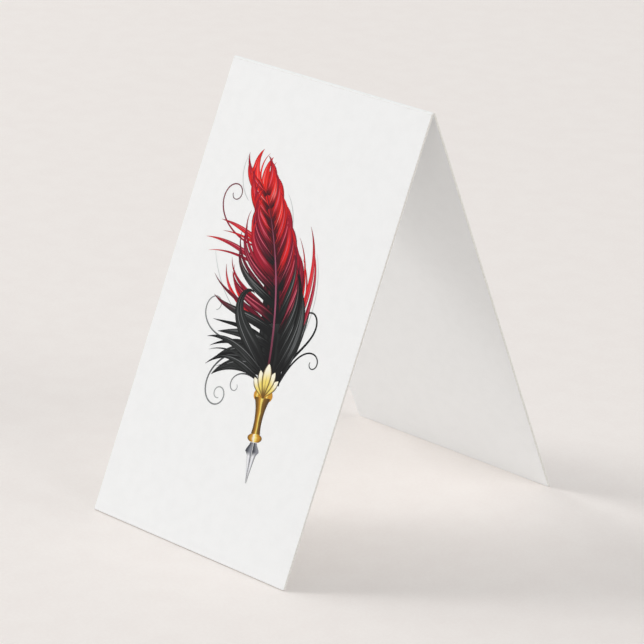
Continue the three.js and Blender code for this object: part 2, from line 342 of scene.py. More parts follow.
def printed_place(tree):
    """The sockets of what a stroke carries: its map, its number and its inks."""
    uv = add_node(tree, "UVMap", {}, uv_map=STROKE_MAP).outputs[0]
    place = add_node(tree, "SeparateXYZ", {0: uv}).outputs
    seed = add_node(tree, "Attribute", {}, attribute_name=SEED).outputs["Fac"]
    inks = [add_node(tree, "Attribute", {}, attribute_name=ink).outputs["Color"] for ink in INKS]
    return Printed(place[0], place[1], seed, *inks)


def strands(tree, at, density, pull, shift):
    """Noise drawn out along a stroke, with density grains across it and pull along it.

    Another shift gives another noise."""
    inputs = {
        0: calc(tree, "MULTIPLY", at.across, density),
        1: calc(tree, "MULTIPLY", at.along, pull),
        2: calc(tree, "MULTIPLY_ADD", at.seed, SEED_SHIFT, shift),
    }
    vector = add_node(tree, "CombineXYZ", inputs).outputs[0]
    return noise(tree, vector, 1.0, 2.0)


def wander(tree, value, noise_value, amount):
    """The value, moved to and fro by a noise."""
    centred = calc(tree, "SUBTRACT", noise_value, 0.5)
    return calc(tree, "MULTIPLY_ADD", centred, amount, value)


def to_rim(tree, at):
    """Distance from the nearer long edge of a stroke, as a share of its width."""
    return calc(tree, "MINIMUM", at.across, calc(tree, "SUBTRACT", 1.0, at.across))


def finish_ink(tree, shader, color):
    """Gives an ink its colour and the tooth of the card under it."""
    tree.links.new(color, shader.inputs["Base Color"])
    tree.links.new(card_bump(tree), shader.inputs["Normal"])


def barb_material():
    """Printed barbs: inks that run into each other along the lock, in fine strands."""
    material, tree, shader = new_material("printed_barbs", 0.6, 0.1)
    at = printed_place(tree)
    place = wander(tree, at.along, strands(tree, at, 4.0, 1.0, 0.0), 0.8)
    color = mix(tree, ease(tree, place, 0.02, 0.5), at.root, at.body)
    color = mix(tree, ease(tree, place, 0.66, 1.0), color, at.tip)
    groove = ease(tree, strands(tree, at, 6.0, 1.2, 3.7), 0.36, 0.52, 0.62, 1.0)
    rim = ease(tree, to_rim(tree, at), 0.0, 0.14, 0.35, 1.0)
    dark = calc(tree, "SUBTRACT", 1.0, calc(tree, "MULTIPLY", groove, rim))
    color = mix(tree, dark, color, (0, 0, 0, 1))
    gleam = ease(tree, strands(tree, at, 5.0, 0.8, 8.1), 0.55, 0.66, 0.0, 0.5)
    middle = calc(tree, "MULTIPLY", ease(tree, at.along, 0.15, 0.4), ease(tree, at.along, 1.0, 0.6))
    inside = ease(tree, to_rim(tree, at), 0.05, 0.25)
    light = calc(tree, "MULTIPLY", gleam, calc(tree, "MULTIPLY", middle, inside))
    finish_ink(tree, shader, mix(tree, light, color, at.shine))
    return material


def line_material():
    """A drawn line, whose ink changes from its root to its tip."""
    material, tree, shader = new_material("printed_line", 0.6, 0.1)
    at = printed_place(tree)
    place = wander(tree, at.along, strands(tree, at, 1.0, 14.0, 0.0), 0.3)
    color = mix(tree, ease(tree, place, 0.0, 0.5), at.root, at.body)
    finish_ink(tree, shader, mix(tree, ease(tree, place, 0.5, 1.0), color, at.tip))
    return material


def petal_material():
    """A collar leaf: pale at its tip, amber at its base, with a vein and a thin dark rim."""
    material, tree, shader = new_material("printed_petal", 0.55, 0.15)
    at = printed_place(tree)
    place = wander(tree, at.along, strands(tree, at, 7, 0.8, 0.0), 0.35)
    color = mix(tree, ease(tree, place, 0.1, 0.45), at.root, at.body)
    color = mix(tree, ease(tree, place, 0.45, 0.85), color, at.tip)
    rim = ease(tree, to_rim(tree, at), 0.04, 0.22, 1.0, 0.0)
    from_middle = calc(tree, "ABSOLUTE", calc(tree, "SUBTRACT", at.across, 0.5))
    middle = ease(tree, from_middle, 0.0, 0.07, 0.5, 0.0)
    vein = calc(tree, "MULTIPLY", middle, ease(tree, at.along, 0.75, 0.45))
    finish_ink(tree, shader, mix(tree, calc(tree, "MAXIMUM", rim, vein), color, at.shine))
    return material


def steel_material():
    """The printed nib: dark shoulders, then a bright blade with darker edges."""
    material, tree, shader = new_material("printed_steel", 0.5, 0.15)
    at = printed_place(tree)
    shoulder = mix(tree, ease(tree, at.across, 0.15, 0.75), at.root, at.body)
    streak = wander(tree, at.across, strands(tree, at, 3.0, 1.5, 0.0), 0.5)
    blade = mix(tree, ease(tree, streak, 0.45, 0.9), at.tip, at.body)
    blade = mix(tree, ease(tree, to_rim(tree, at), 0.02, 0.16, 0.8, 0.0), blade, at.root)
    color = mix(tree, ease(tree, at.along, 0.22, 0.36), shoulder, blade)
    finish_ink(tree, shader, mix(tree, ease(tree, at.along, 0.6, 1.0, 0.0, 0.7), color, at.root))
    return material


def metal_material(name, bands):
    """Printed metal: soft bands of the shape's inks across its width."""
    material, tree, shader = new_material(name, 0.5, 0.15)
    at = printed_place(tree)
    place = wander(tree, at.across, strands(tree, at, 1.5, 3.0, 0.0), 0.25)
    inks = at._asdict()
    color = inks[bands[0][1]]
    for (start, _), (end, ink) in zip(bands, bands[1:]):
        color = mix(tree, ease(tree, place, start, end), color, inks[ink])
    finish_ink(tree, shader, color)
    return material


# ---- shape helpers ---------------------------------------------------------------------


def new_piece(name, vertices, faces, materials, kinds=None):
    """A mesh object. kinds says which of the materials each face has, or else the first."""
    mesh = bpy.data.meshes.new(name)
    mesh.from_pydata([tuple(v) for v in vertices], [], faces)
    for material in materials:
        mesh.materials.append(material)
    if kinds is not None:
        mesh.polygons.foreach_set("material_index", kinds)
    mesh.update()
    piece = bpy.data.objects.new(name, mesh)
    bpy.context.scene.collection.objects.link(piece)
    return piece


def leaf_place(side):
    """Leaf coordinates to the frame: x along the fold, y up the leaf, z outwards."""
    along = Vector((side, 0, 0))
    up = Vector((0, side * math.sin(HALF_ANGLE), math.cos(HALF_ANGLE)))
    out = Vector((0, -side * math.cos(HALF_ANGLE), math.sin(HALF_ANGLE)))
    turn = Matrix((along, up, out)).transposed().to_4x4()
    return Matrix.Translation((0, -side * FOOT, 0)) @ turn


def lerp(a, b, t):
    return a + (b - a) * t


def smoothstep(low, high, x):
    t = min(max((x - low) / (high - low), 0.0), 1.0)
    return t * t * (3 - 2 * t)


# ---- the card --------------------------------------------------------------------------

BROAD_FACE = 0  # the two materials of a card piece
CUT_EDGE = 1


def sheet_ring(radius):
    """The sheet's outline across the leaf, as (x, z), with its corners rounded this much."""
    across = LEAF_WIDTH / 2 - EDGE_ROUND
    corners = ((across, STOCK - EDGE_ROUND), (-across, STOCK - EDGE_ROUND),
               (-across, EDGE_ROUND), (across, EDGE_ROUND))
    ring = []
    for quarter, (x, z) in enumerate(corners):
        for step in range(EDGE_STEPS + 1):
            turn = math.pi / 2 * (quarter + step / EDGE_STEPS)
            ring.append((x + radius * math.cos(turn), z + radius * math.sin(turn)))
    return ring


def leaf_stations():
    """(height up the leaf, corner radius) from the rounded foot to the fold."""
    stations = []
    for step in range(EDGE_STEPS + 1):
        turn = lerp(FOOT_TURN, math.pi / 2, step / EDGE_STEPS)
        stations.append((EDGE_ROUND * (1 - math.cos(turn)), EDGE_ROUND * math.sin(turn)))
    for row in range(1, LEAF_ROWS + 1):
        stations.append(((LEAF_LENGTH - END_GAP) * row / LEAF_ROWS, EDGE_ROUND))
    return stations


def card_leaf(name, side, card, cut):
    """One leaf: a sheet with finely rounded cut edges, square where it meets the fold."""
    stations = leaf_stations()
    place = leaf_place(side)
    vertices = []
    for y, radius in stations:
        vertices += [place @ Vector((x, y, z)) for x, z in sheet_ring(radius)]
    count = 4 * (EDGE_STEPS + 1)  # points in a ring
    broad = (EDGE_STEPS, 3 * EDGE_STEPS + 2)  # where the ring crosses the two broad faces
    faces = [tuple(range(count))]
    kinds = [CUT_EDGE]
    for row in range(len(stations) - 1):
        low = row * count
        for i in range(count):
            j = (i + 1) % count
            faces.append((low + j, low + i, low + count + i, low + count + j))
            kinds.append(BROAD_FACE if i in broad else CUT_EDGE)
    faces.append(tuple(reversed(range(len(vertices) - count, len(vertices)))))
    kinds.append(CUT_EDGE)
    return new_piece(name, vertices, faces, [card, cut], kinds)


def pressed_depth(column, turn, share):
    """How far the score presses in the strip's outer face, at an angle from its crown.

    The share is 0 at the crown and 1 at the strip's ends, where it has to meet the leaves."""
    free = math.cos(share * math.pi / 2) ** 0.5
    lines = sum(math.exp(-((turn - side * CRUSH_TURN) / CRUSH_SPREAD) ** 2) for side in (-1, 1))
    ripple = math.sin(2.1 * column + 1.3 * math.sin(0.9 * column))
    return (CRUSH * lines + RIPPLE * ripple * free) * min(1.0, 3 * free)


def fold_column(column):
    """The strip's points at one column: its outer arc, then its inner arc."""
    x = LEAF_WIDTH * (column / FOLD_COLUMNS - 0.5)
    at_edge = column in (0, FOLD_COLUMNS)
    outer = []
    inner = []
    for step in range(FOLD_FACETS + 1):
        share = 2 * step / FOLD_FACETS - 1
        turn = FOLD_SPAN * share
        depth = EDGE_ROUND / 2 if at_edge else pressed_depth(column, turn, share)
        toward = Vector((0, math.sin(turn), math.cos(turn)))
        outer.append(FOLD_AXIS + Vector((x, 0, 0)) + toward * (OUTER_RADIUS - depth))
        inner.append(FOLD_AXIS + Vector((x, 0, 0)) + toward * INNER_RADIUS)
    return outer + inner


def card_fold(scored, cut):
    """The bent strip between the leaves' ends, round the fold's axis."""
    vertices = [point for i in range(FOLD_COLUMNS + 1) for point in fold_column(i)]
    arc = FOLD_FACETS + 1
    column = 2 * arc
    faces = []
    kinds = []
    for i in range(FOLD_COLUMNS):
        a, b = i * column, (i + 1) * column
        for step in range(FOLD_FACETS):
            faces.append((a + step, b + step, b + step + 1, a + step + 1))
            faces.append((a + arc + step + 1, b + arc + step + 1, b + arc + step, a + arc + step))
            kinds += [BROAD_FACE, BROAD_FACE]
        faces.append((a, a + arc, b + arc, b))
        faces.append((a + arc - 1, b + arc - 1, b + column - 1, a + column - 1))
        kinds += [CUT_EDGE, CUT_EDGE]
    for start, flip in ((0, 1), (FOLD_COLUMNS * column, -1)):
        for step in range(FOLD_FACETS):
            quad = (start + step, start + step + 1, start + arc + step + 1, start + arc + step)
            faces.append(quad[::flip])
            kinds.append(CUT_EDGE)
    return new_piece("card_fold", vertices, faces, [scored, cut], kinds)


# ---- lines of the drawing --------------------------------------------------------------

SHAFT_SAMPLES = 401


def ahead(heading, distance):
    """A step of that length; headings are in degrees from +x."""
    turn = math.radians(heading)
    return np.array((math.cos(turn), math.sin(turn))) * distance


def shaft_samples():
    """Shares of the shaft's length, with its points and headings there."""
    t = np.linspace(0, 1, SHAFT_SAMPLES)[:, None]
    base, base_pull = np.array(SHAFT_BASE), np.array(SHAFT_BASE_PULL)
    tip_pull, tip = np.array(SHAFT_TIP_PULL), np.array(SHAFT_TIP)
    start = (1 - t) ** 3 * base + 3 * (1 - t) ** 2 * t * base_pull
    points = start + 3 * (1 - t) * t ** 2 * tip_pull + t ** 3 * tip
    steps = np.linalg.norm(np.diff(points, axis=0), axis=1)
    shares = np.concatenate([[0], np.cumsum(steps)]) / steps.sum()
    tangents = np.gradient(points, axis=0)
    headings = np.degrees(np.arctan2(tangents[:, 1], tangents[:, 0]))
    return shares, points, headings


SHAFT_SHARES, SHAFT_POINTS, SHAFT_HEADINGS = shaft_samples()


def shaft_point(share):
    return np.array([np.interp(share, SHAFT_SHARES, SHAFT_POINTS[:, k]) for k in (0, 1)])


def shaft_heading(share):
    return float(np.interp(share, SHAFT_SHARES, SHAFT_HEADINGS))


def beside_shaft(share, out):
    """A point beside the shaft; out is positive on the left."""
    return shaft_point(share) + ahead(shaft_heading(share) + 90, out)


def sweep(root, heading, length, turn_at, steps, crowding=1.0):
    """Points of a line that leaves root at a heading and turns as turn_at(share) says.

    Crowding above 1 makes the steps shorter towards the end of the line."""
    reach = [1 - (1 - i / steps) ** crowding for i in range(steps + 1)]
    points = [np.array(root, float)]
    for start, end in zip(reach, reach[1:]):
        turned_to = heading + turn_at((start + end) / 2)
        points.append(points[-1] + ahead(turned_to, length * (end - start)))
    return points


def leftward(points):
    """At each point of a line, the direction at right angles to it, on its left."""
    along = np.gradient(points, axis=0)
    along /= np.linalg.norm(along, axis=1)[:, None]
    return np.stack([-along[:, 1], along[:, 0]], axis=1)


# A stroke is a strip of the drawing between two rails of points, with its four inks and a
# number that makes its grain its own.
Stroke = namedtuple("Stroke", "right left inks seed")


def band(points, half_width_at, inks, seed):
    """The stroke round a line, with its half width at each share of its length."""
    points = np.array(points)
    last = len(points) - 1
    half = np.array([half_width_at(i / last) for i in range(last + 1)])[:, None]
    left = leftward(points) * half
    return Stroke(points - left, points + left, inks, seed)


# ---- the feather -----------------------------------------------------------------------

LOCK_STEPS = 16
FREE_LOCK_STEPS = 32
CURL_STEPS = 48
LOCK_WIDEST = 0.4  # share of a lock's length where it is widest
LOCK_ROOT = 0.25  # from the shaft's middle to a lock's root
BED_OVERLAP = 0.2  # how far the bed reaches over the shaft's middle
BED_END = 0.97  # share of the shaft's length
STRAND_TURN = 7  # from a free lock to the strand beside it, in degrees


def lock_width(half, root=0.3):
    """A lock swells from its root, is widest near its middle, and ends in a point."""
    def half_width_at(s):
        return half * lerp(root, 1, smoothstep(0, LOCK_WIDEST, s)) * (1 - s ** 2.2) + THINNEST

    return half_width_at


def uneven(i):
    """A steady unevenness between -1 and 1 for lock number i."""
    return math.sin(2.4 * i + 0.7)


def apart_at(side, share):
    """From 0 to 1, how far the locks stand apart: only half way up on the left."""
    if side == RIGHT:
        return 0
    return smoothstep(0.1, 0.25, share) * (1 - smoothstep(0.5, 0.65, share))


# Below each share of the shaft, the inks that the locks take in turn.
LEFT_INKS = (
    (0.2, (BLACK_LOCK,)),
    (0.48, (WINE_LOCK, SMOKE_LOCK)),
    (0.62, (WINE_LOCK, CRIMSON_LOCK)),
    (0.78, (RED_LOCK, CRIMSON_LOCK)),
    (1.0, (FLAME_LOCK, RED_LOCK)),
)
RIGHT_INKS = (
    (0.12, (BLACK_LOCK,)),
    (0.3, (WINE_LOCK, BLACK_LOCK, SMOKE_LOCK)),
    (0.5, (WINE_LOCK, SMOKE_LOCK, CRIMSON_LOCK)),
    (0.7, (CRIMSON_LOCK, RED_LOCK)),
    (1.0, (FLAME_LOCK, RED_LOCK)),
)


def lock_inks(side, share, i):
    """Black at the bottom of the feather, wine and crimson above, and red at the top."""
    for below, inks in LEFT_INKS if side == LEFT else RIGHT_INKS:
        if share < below:
            return inks[i % len(inks)]
    return FLAME_LOCK


def left_line(share, out, stretch, lift=0.0):
    """A lock's line on the left: it arches over at the bottom and sweeps up above it."""
    heading = shaft_heading(share) + lerp(62, 34, smoothstep(0, 0.85, share)) + lift
    arch = lerp(62, -20, smoothstep(0.0, 0.7, share))
    flick = lerp(10, -80, smoothstep(0.05, 0.4, share)) + 40 * smoothstep(0.6, 1.0, share)
    length = (13.5 + 2.5 * math.sin(math.pi * share) - 5.5 * share) * stretch
    root = beside_shaft(share, out)
    return sweep(root, heading, length, lambda s: arch * s + flick * s ** 3, LOCK_STEPS)


def right_line(share, out, stretch, lift=0.0):
    """A lock's line on the right: all of them bulge outwards and close in at the top."""
    heading = shaft_heading(share) - lerp(26, 42, share) - lift
    length = lerp(17.5, 6.0, share) * stretch
    root = beside_shaft(share, -out - lerp(1.7, 0, smoothstep(0, 0.7, share)))
    return sweep(root, heading, length, lambda s: 62 * s * s, LOCK_STEPS)


def fine_line(line, offset, half, inks, seed):
    """A fine light line along a lock, this far to the left of its middle."""
    def half_width_at(s):
        return half * math.sin(math.pi * s) ** 0.7 + THINNEST / 2

    _, body, tip, shine = inks
    points = np.array(line)[1:-2]
    fade = np.array([1 - (i / len(points)) ** 1.5 for i in range(len(points))])[:, None]
    moved = points + leftward(points) * offset * fade
    return band(moved, half_width_at, (body, shine, tip, shine), seed)


def lock_group(side, i, share):
    """One lock of the vane, topmost first: its fine line, itself, and a split end under it."""
    line_at = left_line if side == LEFT else right_line
    inks = lock_inks(side, share, i)
    root, _, tip, shine = inks
    apart = apart_at(side, share)
    stretch = 1 + 0.09 * uneven(i) + 0.14 * apart
    half = (1.5 - 0.3 * share + 0.12 * uneven(2 * i)) * (1 - 0.32 * apart)
    line = line_at(share, LOCK_ROOT, stretch)
    under = line_at(share + 0.015, LOCK_ROOT + 0.05, stretch * 1.13, -4.0 - 2 * uneven(i))
    return [
        fine_line(line, -side * 0.5 * half, 0.085, inks, i / 5),
        band(line, lock_width(half, lerp(0.3, 0.85, apart)), inks, i / 7 + 0.5 * side),
        band(under, lock_width(0.5 * half), (root, tip, tip, shine), i / 9),
    ]


def bed(side, low, high, inks):
    """The dark bed beside the shaft, on which the locks lie."""
    widest, root = (2.0, 0.45) if side == LEFT else (1.8, 1.0)

    def half_width_at(share):
        return widest * (1 - 0.45 * share) * lerp(root, 1, smoothstep(0, 0.12, share))

    shares = [lerp(low, high, i / LOCK_STEPS) for i in range(LOCK_STEPS + 1)]
    line = [beside_shaft(share, side * (half_width_at(share) - BED_OVERLAP)) for share in shares]
    dark, body, _, _ = inks
    return band(line, lambda s: half_width_at(lerp(low, high, s)), (dark, dark, body, body), 0.1)


def vane(side, low, high, bed_inks):
    """One colour of the vane, topmost first: the locks, lower ones on top, and the bed."""
    strokes = []
    for i in range(LOCKS_A_SIDE):
        share = (i + 0.5) / LOCKS_A_SIDE
        if low <= share < high:
            strokes += lock_group(side, i, share)
    return strokes + [bed(side, low, min(high, BED_END), bed_inks)]


def free_lock(x, y, heading, length, turn, half, inks, bend=2):
    """A lock that stands free of the vane, its fine line, and a thin strand beside it.

    A larger bend keeps its turn for its end. The half width serves as its number too."""
    def turn_at(s):
        return turn * s ** bend

    side = math.copysign(1, turn)
    line = sweep((x, y), heading, length, turn_at, FREE_LOCK_STEPS)
    beside = heading + STRAND_TURN * side
    strand = sweep((x, y), beside, 0.9 * length, turn_at, FREE_LOCK_STEPS)
    return [
        fine_line(line, -side * 0.5 * half, 0.07, inks, half),
        band(line, lock_width(half), inks, half),
        band(strand, lock_width(0.3), inks, half),
    ]


def curl(x, y, heading, length, sway, wind, half, inks):
    """A thin line that sways as it runs out and winds up at its end."""
    def turn_at(s):
        return sway * s + wind * s ** 4

    line = sweep((x, y), heading, length, turn_at, CURL_STEPS, 1.35)
    return band(line, lambda s: half * (1 - 0.6 * s), inks, half)


def wisp(x, y, heading, length, turn):
    """A faint hair beside the feather, too fine to be in the CAD."""
    def half_width_at(s):
        return 0.07 * math.sin(math.pi * s) ** 0.5 + THINNEST

    line = sweep((x, y), heading, length, lambda s: turn * s, LOCK_STEPS)
    return band(line, half_width_at, WISP_LINE, 0.5)


# ---- the pen ---------------------------------------------------------------------------

PEN_STEPS = 20
COLLAR_STEPS = 18
CHEEK_STEPS = 16
NIB_STEPS = 18
COLLAR_BASE = 0.4  # from the throat towards the nib
CHEEK_RADIUS = 1.1
CHEEK_OUT = 1.2  # from the pen's axis to the middle of a cheek
NIB_START = HOLDER_LENGTH + BEAD_LENGTH + 0.1
NIB_SHOULDER = 0.22  # share of the nib's length
SLIT_HALF = 0.06


def pen_point(along, across):
    """A point of the pen: distance from the throat towards the nib, and to its side."""
    return np.array(THROAT) + ahead(PEN_HEADING, along) + ahead(PEN_HEADING + 90, across)


def turned(start, length, half_width_at, inks):
    """A shape that is symmetric about the pen's axis."""
    line = [pen_point(start + length * i / PEN_STEPS, 0) for i in range(PEN_STEPS + 1)]
    return band(line, half_width_at, inks, 0.3)


def collar_leaf(angle, length, half, inks):
    """One rounded leaf of the collar, at an angle from the pen's axis."""
    def half_width_at(s):
        rounded = max(math.sin(math.pi * s ** 1.6), 0) ** 0.8
        return half * rounded + 0.15 * (1 - s) + THINNEST

    base = pen_point(COLLAR_BASE, 0)
    line = sweep(base, PEN_HEADING + 180 + angle, length, lambda s: 0, COLLAR_STEPS)
    return band(line, half_width_at, inks, 0.02 * angle)


def cheek(side, inks):
    """A round cheek at one side of the throat."""
    turns = [math.pi * i / CHEEK_STEPS for i in range(CHEEK_STEPS + 1)]
    line = [pen_point(-0.1 - CHEEK_RADIUS * math.cos(turn), side * CHEEK_OUT) for turn in turns]
    return band(line, lambda s: CHEEK_RADIUS * math.sin(math.pi * s) + THINNEST, inks, 0.4)


def holder_width(s):
    return 0.85 + 1.1 * (1 - s) ** 3 + 0.25 * s ** 6


def bead_width(s):
    return 0.8 + 0.95 * max(math.sin(math.pi * s), 0) ** 0.6


def nib_half(side, inks):
    """Half of the nib, split down the middle: a flared shoulder, a step, a long taper."""
    slit = []
    outline = []
    for i in range(NIB_STEPS + 1):
        s = i / NIB_STEPS
        along = NIB_START + NIB_LENGTH * s
        flare = lerp(0.7, 1.55, smoothstep(0, NIB_SHOULDER, s))
        taper = 1 if s < NIB_SHOULDER else ((1 - s) / (1 - NIB_SHOULDER)) ** 1.15
        step = lerp(1, 0.7, smoothstep(NIB_SHOULDER, NIB_SHOULDER + 0.1, s))
        slit.append(pen_point(along, side * SLIT_HALF))
        outline.append(pen_point(along, side * (flare * taper * step + 1.5 * SLIT_HALF)))
    right, left = (slit, outline) if side > 0 else (outline, slit)
    return Stroke(np.array(right), np.array(left), inks, 0.2)


# ---- the shapes of the print -----------------------------------------------------------

SHAFT_STEPS = 40

PETAL = (BROWN, YELLOW, CREAM, DARK_BROWN)
SIDE_PETAL = (AMBER, YELLOW, CREAM, DARK_BROWN)
GOLD_METAL = (BROWN, AMBER, YELLOW, CREAM)
BRONZE_METAL = (DARK_BROWN, BROWN, AMBER, YELLOW)
CHEEK_METAL = (AMBER, AMBER, AMBER, YELLOW)
STEEL_METAL = (STEEL_DARK, STEEL, STEEL_PALE, STEEL_PALE)
SHAFT_INKS = (MAROON, MAUVE, MAROON, MAUVE)
GREY_LINE = (BLACK, GREY, PALE_GREY, GREY)
BLACK_LINE = (BLACK, BLACK, CHARCOAL, GREY)
CRIMSON_LINE = (CRIMSON, WINE, MAROON, PINK)
WISP_LINE = (PALE_GREY, MIST, MIST, MIST)

# A printed shape: its CAD node, its material slot, its material here, and its strokes.
Shape = namedtuple("Shape", "node slot kind strokes")


def barbs(node, slot, strokes):
    """A shape of feather barbs."""
    return Shape(node, slot, "barb", strokes)


def thin_lines(node, slot, *strokes):
    """A shape of one or more drawn lines."""
    return Shape(node, slot, "line", strokes)


def quill_shaft():
    """The feather's shaft, which is widest at its base."""
    line = [shaft_point(i / SHAFT_STEPS) for i in range(SHAFT_STEPS + 1)]
    return band(line, lambda s: SHAFT_HALF_WIDTH * (1.1 - 0.85 * s), SHAFT_INKS, 0.6)


def bead_and_collar():
    """The bead above the nib, and the collar's leaves with the middle one on top."""
    bead = turned(HOLDER_LENGTH, BEAD_LENGTH, bead_width, GOLD_METAL)
    shapes = [Shape("bead", "ink_gold", "gold", [bead])]
    for name, angle, length, half, inks in (
        ("middle", 0, 6.4, 1.05, PETAL),
        ("left", 20, 5.3, 0.85, PETAL),
        ("right", -20, 5.3, 0.85, PETAL),
        ("outer_left", 40, 4.6, 0.75, SIDE_PETAL),
        ("outer_right", -40, 4.6, 0.75, SIDE_PETAL),
    ):
        leaf = collar_leaf(angle, length, half, inks)
        shapes.append(Shape("collar_leaf_" + name, "ink_gold", "petal", [leaf]))
    return shapes


def holder_and_nib():
    """The holder with its two cheeks, and the two halves of the nib."""
    holder = turned(0.3, HOLDER_LENGTH - 0.3, holder_width, BRONZE_METAL)
    return [
        Shape("holder", "ink_bronze", "bronze", [holder]),
        Shape("cheek_left", "ink_gold", "gold", [cheek(-1, CHEEK_METAL)]),
        Shape("cheek_right", "ink_gold", "gold", [cheek(1, CHEEK_METAL)]),
        Shape("nib_left", "ink_steel", "steel", [nib_half(-1, STEEL_METAL)]),
        Shape("nib_right", "ink_steel", "steel", [nib_half(1, STEEL_METAL)]),
    ]


def vanes():
    """The feather's vanes, and over them the black locks at its lower left."""
    hook = free_lock(6.0, 35.6, 146, 20.5, -190, 1.9, BLACK_LOCK, 5)
    left_4 = free_lock(5.8, 34.4, 152, 17.5, 48, 0.9, BLACK_LOCK)
    left_5 = free_lock(5.0, 33.4, 158, 13, 46, 0.7, BLACK_LOCK)
    shapes = [
        barbs("lock_hook", "ink_black", hook[:2]),  # without the strand beside it
        barbs("lock_left_4", "ink_black", left_4),
        barbs("lock_left_5", "ink_black", left_5),
    ]
    for colour, low, high, bed_inks in (
        ("black", 0, BLACK_BELOW, BLACK_LOCK),
        ("crimson", BLACK_BELOW, RED_ABOVE, WINE_LOCK),
        ("red", RED_ABOVE, 1, RED_LOCK),
    ):
        for name, side in (("left", LEFT), ("right", RIGHT)):
            strokes = vane(side, low, high, bed_inks)
            shapes.append(barbs(f"vane_{name}_{colour}", "ink_" + colour, strokes))
    return shapes


def free_locks():
    """The plumes at the feather's tip and the locks that stand free of its sides."""
    plume_long = free_lock(-5.4, 63.8, 148, 13.0, -92, 1.5, FLAME_LOCK)
    plume_short = free_lock(-6.5, 64.6, 120, 9.0, -58, 1.2, FLAME_LOCK)
    left_1 = free_lock(-1.5, 56.0, 160, 15, 22, 0.65, RED_LOCK)
    left_2 = free_lock(-0.4, 52.6, 162, 18.5, 28, 0.6, CRIMSON_LOCK)
    left_3 = free_lock(-0.5, 44.2, 166, 14, -62, 0.5, RED_LOCK)
    right_1 = free_lock(9.6, 43, 86, 21, 44, 0.6, RED_LOCK)
    right_2 = free_lock(10.4, 41, 82, 19, 46, 0.5, CRIMSON_LOCK)
    right_3 = free_lock(9.4, 34.4, 76, 18, 30, 0.8, BLACK_LOCK)
    return [
        barbs("plume_long", "ink_red", plume_long),
        barbs("plume_short", "ink_red", plume_short),
        barbs("lock_left_1", "ink_red", left_1),
        barbs("lock_left_2", "ink_crimson", left_2),
        barbs("lock_left_3", "ink_red", left_3),
        barbs("lock_right_1", "ink_red", right_1),
        barbs("lock_right_2", "ink_crimson", right_2),
        barbs("lock_right_3", "ink_black", right_3),
    ]


def curls():
    """The curls round the feather. Two of them have faint hairs beside them."""
    top_left = curl(-5.5, 56.4, 178, 25, -70, -380, 0.18, CRIMSON_LINE)
    left = curl(-0.5, 39.4, 196, 22, -62, -300, 0.18, GREY_LINE)
    bottom_left = curl(0.8, 37.8, 184, 27, 150, 420, 0.2, GREY_LINE)
    small = curl(4.4, 33.4, 158, 11, 90, 260, 0.16, GREY_LINE)
    right = curl(9.6, 37, 62, 16.5, -26, 300, 0.27, BLACK_LINE)
    bottom_right = curl(9.6, 34.4, 74, 15.5, -42, -330, 0.2, BLACK_LINE)
    left_wisps = (wisp(-5.5, 43.8, 152, 14, -34), wisp(-10.8, 64, 150, 9.5, -75))
    right_wisps = (wisp(11, 41.5, 70, 18, 52), wisp(1.6, 61.5, 100, 7, 40))
    return [
        thin_lines("curl_top_left", "ink_crimson", top_left),
        thin_lines("curl_left", "ink_curl", left, *left_wisps),
        thin_lines("curl_bottom_left", "ink_curl", bottom_left),
        thin_lines("curl_small", "ink_curl", small),
        thin_lines("curl_right", "ink_curl", right, *right_wisps),
        thin_lines("curl_bottom_right", "ink_curl", bottom_right),
    ]


def printed_shapes():
    """All the shapes of the print, from the topmost down."""
    shaft = thin_lines("shaft", "ink_shaft", quill_shaft())
    return bead_and_collar() + [shaft] + holder_and_nib() + vanes() + free_locks() + curls()


# ---- from strokes to ink films ---------------------------------------------------------


def add_stroke(stroke, points, maps, triangles):
    """Adds a stroke's points, the place of each across and along it, and its triangles."""
    start = len(points)
    last = len(stroke.right) - 1
    for i, (right, left) in enumerate(zip(stroke.right, stroke.left)):
        points += [Vector(right), Vector(left)]
        maps += [(0.0, i / last), (1.0, i / last)]
    for i in range(last):
        a = start + 2 * i
        triangles += [(a, a + 2, a + 3), (a, a + 3, a + 1)]


INSIDE_FACES = 1  # of Blender's division of the plane: keep the faces inside the strokes
MERGE_DISTANCE = 1e-6


def share_out(strokes):
    """Divides the drawing so that each part of it shows only its topmost stroke.

    Returns the points of the division, and for each stroke its visible triangles, as
    (three points, the place of each across and along the stroke)."""
    points, maps, triangles, owners = [], [], [], []
    for number, stroke in enumerate(strokes):
        add_stroke(stroke, points, maps, triangles)
        owners += [number] * (len(triangles) - len(owners))
    divided = delaunay_2d_cdt(points, [], triangles, INSIDE_FACES, MERGE_DISTANCE, True)
    corners, faces, sources = divided[0], divided[2], divided[5]
    visible = [[] for _ in strokes]
    for face, source in zip(faces, sources):
        if not source:
            continue
        top = min(source)
        whole = [points[k] for k in triangles[top]]
        values = [maps[k] for k in triangles[top]]
        places = [carry_over(whole, values, corners[k]) for k in face]
        visible[owners[top]].append((tuple(face), places))
    return corners, visible


def carry_over(triangle, values, point):
    """The value at a point, worked out from those at a triangle's three corners."""
    a, b, c = triangle
    ab, ac, ap = b - a, c - a, point - a
    area = cross(ab, ac)
    beta = cross(ap, ac) / area if area else 0.0
    gamma = cross(ab, ap) / area if area else 0.0
    shares = (1 - beta - gamma, beta, gamma)
    return tuple(sum(w * v[k] for w, v in zip(shares, values)) for k in (0, 1))


def cross(first, second):
    """The signed area of the parallelogram that two vectors span."""
    return first.x * second.y - first.y * second.x


def rim_of(tops):
    """The edges of a film that only one triangle has.

    Each is (its two corners, the triangle's number, and where the edge starts in it)."""
    edges = {}
    for number, top in enumerate(tops):
        for i in range(3):
            edges[(top[i], top[(i + 1) % 3])] = (number, i)
    return [(a, b, number, i) for (a, b), (number, i) in edges.items() if (b, a) not in edges]


